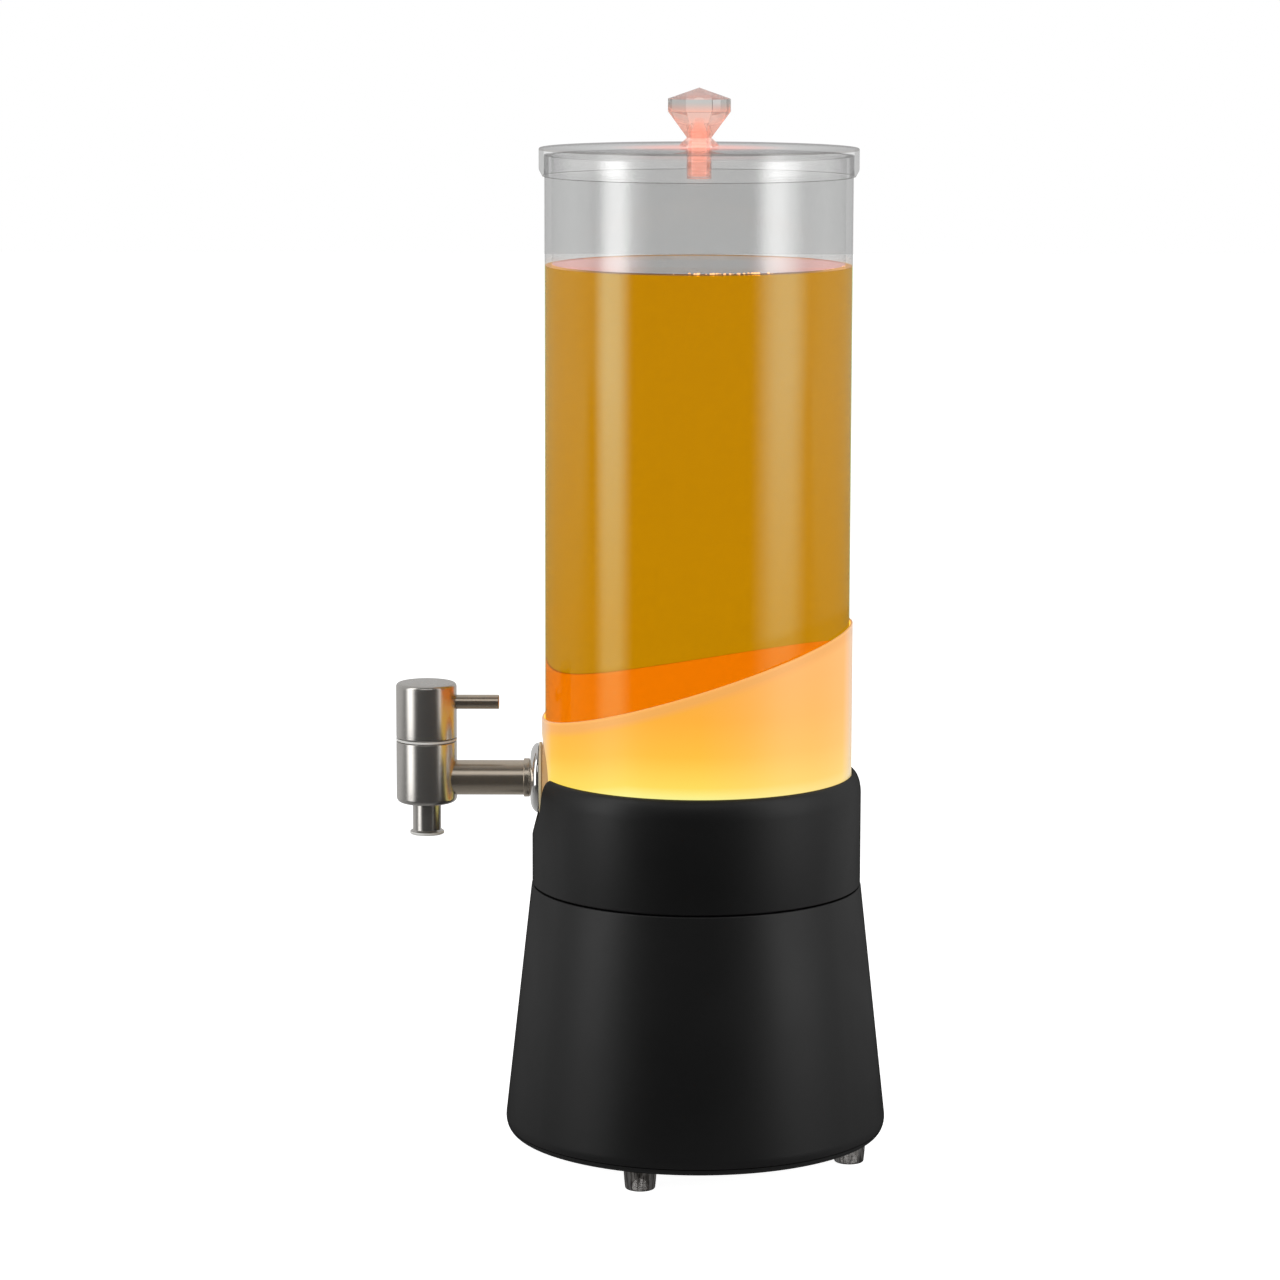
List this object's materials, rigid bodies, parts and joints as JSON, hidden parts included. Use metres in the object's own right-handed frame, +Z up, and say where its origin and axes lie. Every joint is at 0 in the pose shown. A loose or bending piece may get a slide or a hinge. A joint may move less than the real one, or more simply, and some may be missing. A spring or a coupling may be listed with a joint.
{
  "type": "beer tower dispenser",
  "caption": "Tall clear drinks tower on a black lit base, with a slant-cut frosted light sleeve, a lift-off lid with a faceted knob, and a steel turn tap on one side.",
  "frame": {"origin": "centre of the base plate's underside, on the tower's axis; the feet reach 9 mm below it", "axes": "+Z up along the tower's axis, tap towards -X, the pictured side faces -Y"},
  "size_m": [0.211, 0.1642, 0.4572],
  "materials": {
    "base_black": "satin moulded black",
    "button_black": "matt",
    "foot_smoked": "glossy smoked elastomer",
    "clear_acrylic": "polished clear acrylic",
    "frosted_acrylic": "frosted, lit warm from below",
    "amber_acrylic": "clear boss, lit amber",
    "brushed_steel": "fine turned brushing",
    "bright_steel": "polished",
    "pale_silicone": "matt pale silicone",
    "pale_polymer": "smooth",
    "black_rubber": "matt",
    "board_green": "solder-masked board",
    "led_clear": "clear epoxy",
    "cell_sleeve": "plain sleeve",
    "lead_sleeve": "insulated"
  },
  "bodies": {
    "base": {"base_plate": "base_black", "skirt_shell": "base_black", "collar": "base_black", "deck": "base_black", "light_lens": "frosted_acrylic", "led_board": "board_green", "seat_pad": "black_rubber", "contact_strip_outer": "bright_steel", "contact_strip_inner": "bright_steel", "battery_cover": "base_black", "cover_screw": "bright_steel", "switch_housing": "base_black", "battery_lead": "lead_sleeve", "switch_lead": "lead_sleeve", "plate_screw_1": "bright_steel", "plate_screw_2": "bright_steel", "plate_screw_3": "bright_steel", "plate_screw_4": "bright_steel", "collar_screw_1": "bright_steel", "collar_screw_2": "bright_steel", "collar_screw_3": "bright_steel", "board_screw_1": "bright_steel", "board_screw_2": "bright_steel", "board_screw_3": "bright_steel", "foot_1": "foot_smoked", "foot_2": "foot_smoked", "foot_3": "foot_smoked", "foot_4": "foot_smoked", "led_1": "led_clear", "led_2": "led_clear", "led_3": "led_clear", "led_4": "led_clear", "led_5": "led_clear", "led_6": "led_clear", "battery_1": "cell_sleeve", "battery_2": "cell_sleeve", "battery_3": "cell_sleeve"},
    "tank": {"tank_tube": "clear_acrylic", "tank_floor": "clear_acrylic", "light_sleeve": "frosted_acrylic", "tap_boss": "amber_acrylic", "outer_gasket": "pale_silicone", "escutcheon": "bright_steel", "inner_gasket": "pale_silicone", "lock_nut": "bright_steel", "tap_body": "brushed_steel", "nozzle": "brushed_steel", "tap_washer": "pale_polymer", "valve_retainer": "bright_steel"},
    "tap_turner": {"tap_head": "brushed_steel", "tap_lever": "brushed_steel", "valve_plug": "pale_polymer", "plug_seal": "black_rubber"},
    "lid": {"lid_cap": "clear_acrylic", "knob": "clear_acrylic"},
    "button": {"switch_button": "button_black"}
  },
  "joints": [
    {"name": "tank_lift", "type": "slide", "parent": "base", "child": "tank", "axis": [0, 0, 1], "range_m": [0, 0.06]},
    {"name": "lid_lift", "type": "slide", "parent": "tank", "child": "lid", "axis": [0, 0, 1], "range_m": [0, 0.04]},
    {"name": "tap_turn", "type": "hinge", "parent": "tank", "child": "tap_turner", "pos_m": [-0.1159, 0, 0.154], "axis": [0, 0, -1], "range_deg": [0, 90]},
    {"name": "button_push", "type": "slide", "parent": "base", "child": "button", "axis": [0, 0, 1], "range_m": [0, 0.0015], "stiffness_N_per_m": 400, "springref_m": -0.0005}
  ]
}
